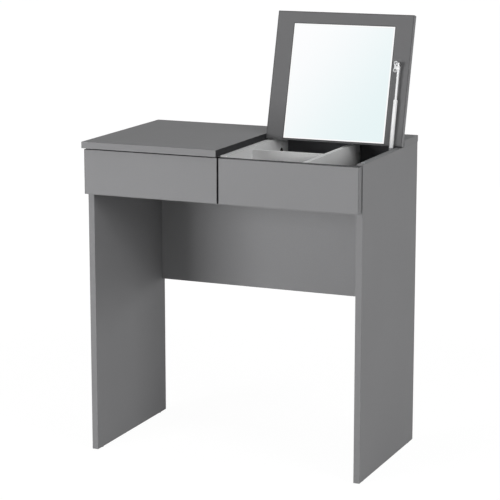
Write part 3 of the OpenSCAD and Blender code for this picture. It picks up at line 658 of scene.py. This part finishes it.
# Painted shade: the washers are black to stand in for the shade on the sides of the eye.
washer_painted_shade = enamel("washer_painted_shade", (0.02, 0.02, 0.022), 0.6)
WASHER_OFF = 0.00315
for name, off in (("outer_washer", WASHER_OFF), ("inner_washer", -WASHER_OFF)):
    shape = bmesh.new()
    turned(shape, facing_x(STAY_HEAD + Vector((off, 0.0, 0.0))), [
        (3.06, -0.5), (4.4, -0.5), (4.7, -0.25), (4.7, 0.25), (4.4, 0.5), (3.06, 0.5),
    ], hollow=True)
    fitted(name, shape, washer_painted_shade, "rod", "grey_plastic", "stay_rod")
shape = bmesh.new()
turned(shape, stay_place, [
    (3.3, 2.5), (3.9, 4.6), (4.3, 7.2), (4.7, 8.4), (5.0, 9.2), (5.0, 14.4), (4.96, 14.9), (4.91, 15.0),
    (4.91, 8.9),
])
turned(shape, facing_x(STAY_FOOT), [
    (2.0, -3.7), (4.4, -3.7), (4.85, -3.45), (5.0, -3.0), (5.0, -1.1), (4.5, -0.8), (4.5, 0.8), (5.0, 1.1),
    (5.0, 3.0), (4.85, 3.45), (4.4, 3.7), (3.1, 3.7), (3.0, 1.0),
])
socket_plastic = enamel("socket_plastic", (0.26, 0.26, 0.27), 0.45)
fitted("stay_socket", shape, socket_plastic, "tube", "grey_plastic", "stay_tube")
shape = bmesh.new()
CLIP_R = 4.72
WIRE_R = 0.3
eighths = [turn * math.pi / 4 for turn in range(8)]
wire = [(CLIP_R + WIRE_R * math.cos(angle), WIRE_R * math.sin(angle)) for angle in eighths]
turned(shape, facing_x(STAY_FOOT), wire, hollow=True)
fitted("stay_clip", shape, plated, "tube", "zinc", "stay_tube")
dress("stay_gland", glide.material)

# Stay's plates: stamped from 2 mm steel. The lid's is folded and lobed round its two screws, and the
# side board's is flat. A stud is riveted into each, and both are plated, the side board's duller.
PLATE = 2.0
PLATE_ARRIS = 0.25


def stamped(shape, place, outline):
    """Adds a flat plate with soft arrises. Its outline lies in place's XY, in mm."""
    middle = Vector((sum(x for x, _ in outline), sum(y for _, y in outline))) / len(outline)
    rings = []
    for inset, height in ((PLATE_ARRIS, 0.0), (0.0, PLATE_ARRIS), (0.0, PLATE - PLATE_ARRIS),
                          (PLATE_ARRIS, PLATE)):
        ring = []
        for point in outline:
            way = (Vector(point) - middle).normalized() * inset
            ring.append(place @ Vector(((point[0] - way.x) * MM, (point[1] - way.y) * MM, height * MM)))
        rings.append(ring)
    loft(shape, rings)


def arc(x, y, radius, start, end, steps=8):
    """Points on an arc round a centre, in mm and degrees."""
    angles = [math.radians(start + (end - start) * i / steps) for i in range(steps + 1)]
    return [(x + radius * math.cos(angle), y + radius * math.sin(angle)) for angle in angles]


bracket_steel = zinc("bracket_steel", (0.90, 0.91, 0.92))
LID_PLATE_Z = 0.754
LID_FOLD_X = 0.3205
LID_STUD = Vector((0.3225, -0.089, 0.7463))
shape = bmesh.new()
stamped(shape, lid_place @ Matrix.Translation((0.0, 0.0, LID_PLATE_Z)), (
    arc(315.5, -93.3, 4.9, 20, -200, 14) + [(312.6, -86.6), (312.6, -82.6)]
    + arc(315.5, -75.9, 4.9, 200, -20, 14) + [(322.4, -79.0), (322.4, -90.2)]
)[::-1])
stamped(shape, lid_place @ facing_x(Vector((LID_FOLD_X, 0.0, 0.0))), (
    [(-755.9, -95.0)] + arc(-746.7, -89.0, 4.4, -110, 110, 14) + [(-755.9, -83.0)]
))
turned(shape, lid_place @ facing_x(LID_STUD), [
    (4.0, -0.2), (4.0, 0.15), (3.0, 0.25), (3.0, 5.6), (2.6, 6.4), (2.0, 6.6),
])
fitted("lid_stud_plate", shape, bracket_steel, "lid", "zinc", "stay_bracket")
foot_steel = zinc("foot_steel", (0.42, 0.42, 0.43))
SIDE_PLATE_X = 0.3325
shape = bmesh.new()
stamped(shape, facing_x(Vector((SIDE_PLATE_X, 0.0, 0.0))), (
    arc(-720.0, 72.0, 3.4, 270, 360) + arc(-720.0, 79.0, 3.4, 0, 90) + arc(-743.9, 79.0, 3.4, 90, 180)
    + arc(-743.9, 72.0, 3.4, 180, 270)
))
turned(shape, facing_x(Vector((SIDE_PLATE_X, STAY_FOOT.y, STAY_FOOT.z))), [
    (2.2, -2.0), (2.8, -1.8), (3.0, -1.4), (3.0, -0.2), (4.0, -0.1), (4.0, 0.2),
])
fitted("side_stud_plate", shape, foot_steel, "table", "zinc", "stay_foot")

# Studio: a white backdrop and a faint even light. The floor, the lamps and the camera follow. The
# camera and the glossy pieces see the backdrop white, and it adds nothing to the light.
SKY_LIGHT = 0.02
WHITE = (1.0, 1.0, 1.0, 1.0)


def white_out(tree, shown, other):
    """Shows one shader to the camera, to glossy and to transmitted rays, and the other to the rest."""
    path = tree.nodes.new("ShaderNodeLightPath")
    seen = path.outputs["Is Camera Ray"]
    for kind in ("Is Glossy Ray", "Is Transmission Ray"):
        either = tree.nodes.new("ShaderNodeMath")
        either.operation = "MAXIMUM"
        tree.links.new(seen, either.inputs[0])
        tree.links.new(path.outputs[kind], either.inputs[1])
        seen = either.outputs[0]
    mixed = tree.nodes.new("ShaderNodeMixShader")
    for place, socket in enumerate((seen, other, shown)):
        tree.links.new(socket, mixed.inputs[place])
    return mixed.outputs[0]


world = bpy.data.worlds.new("studio")
bpy.context.scene.world = world
world.use_nodes = True
tree = world.node_tree
sky = tree.nodes["Background"]
sky.inputs["Strength"].default_value = SKY_LIGHT
sky.inputs["Color"].default_value = WHITE
white = tree.nodes.new("ShaderNodeBackground")
white.inputs["Color"].default_value = WHITE
tree.links.new(white_out(tree, white.outputs[0], sky.outputs[0]), tree.nodes["World Output"].inputs[0])

# Floor: a white sheet. What the camera sees of it is mostly its own white, a little more of it far
# from the table, and the rest is the lit sheet with the table's shadow.
FLOOR_SIZE = 60.0
OWN_WHITE = 1.07
FAR_WHITE = 0.045
FAR_FROM = 1.0
FAR_FULL = 2.6
OWN_PART = 0.90
bpy.ops.mesh.primitive_plane_add(size=FLOOR_SIZE, location=(0.0, 0.0, 0.0))
floor = bpy.context.object
floor.name = "studio_floor"
sheet = Finish("white_sheet", Base_Color=(0.8, 0.8, 0.8, 1.0), Roughness=1.0)
lit = Value(sheet, sheet.shader.outputs[0])
reach = sheet.node("VectorMath", {"operation": "LENGTH"}, {0: sheet.place()}, 1)
own = sheet.node("Emission", {}, {"Strength": OWN_WHITE + reach.between(FAR_FROM, FAR_FULL) * FAR_WHITE})
seen = sheet.node("MixShader", {}, {0: OWN_PART, 1: lit, 2: own})
tree = sheet.tree
tree.links.new(white_out(tree, seen.socket, lit.socket), tree.nodes["Material Output"].inputs[0])
floor.data.materials.append(sheet.material)
floor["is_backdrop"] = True

# Lamps: square soft boxes, each given by its place, the point it is aimed at, its side in metres
# and its power in watts. Glossy surfaces don't show them.


def lamp(name, place, aim, side, power):
    """Hangs a lamp and turns it to the point it is aimed at."""
    data = bpy.data.lights.new(name, "AREA")
    data.shape = "SQUARE"
    data.size = side
    data.energy = power
    made = bpy.data.objects.new(name, data)
    made.location = place
    made.rotation_euler = (Vector(aim) - Vector(place)).to_track_quat("-Z", "Y").to_euler()
    made.visible_glossy = False
    bpy.context.scene.collection.objects.link(made)


lamp("front_lamp", (-1.7, -3.3, 0.82), (0.0, 0.0, 0.5), 1.65, 97.0)
lamp("right_lamp", (3.1, -1.62, 1.66), (0.1, 0.0, 0.65), 1.2, 43.0)
lamp("top_lamp", (0.2, -0.6, 3.4), (0.0, 0.0, 0.5), 2.5, 24.0)
lamp("low_lamp", (3.0, 2.6, 0.35), (0.0, 0.0, 0.4), 1.3, 36.0)
lamp("left_lamp", (-3.7, 0.3, 0.8), (0.0, 0.0, 0.5), 2.0, 30.0)
lamp("back_lamp", (-0.4, 3.8, 0.9), (0.0, 0.0, 0.5), 2.2, 27.0)

# Camera: its place, angles in degrees and focal length in pixels are solved from the corners of the
# top, the legs and the fronts in the photo.
CAMERA_PLACE = (1.8453, -4.3167, 1.4605)
CAMERA_DOWN = 11.607
CAMERA_TURN = 23.192
FOCAL_PX = 1973.0
FRAME_PX = 500.0
SENSOR_MM = 36.0
camera = bpy.data.objects.new("camera", bpy.data.cameras.new("camera"))
bpy.context.scene.collection.objects.link(camera)
camera.location = CAMERA_PLACE
camera.rotation_euler = (math.radians(90.0 - CAMERA_DOWN), 0.0, math.radians(CAMERA_TURN))
camera.data.sensor_width = SENSOR_MM
camera.data.lens = SENSOR_MM * FOCAL_PX / FRAME_PX
bpy.context.scene.camera = camera
bpy.context.scene.view_settings.view_transform = "Standard"

sizes = {"cad": cad_box, "visual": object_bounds()}
{key: [list(corner) for corner in box] for key, box in sizes.items()}
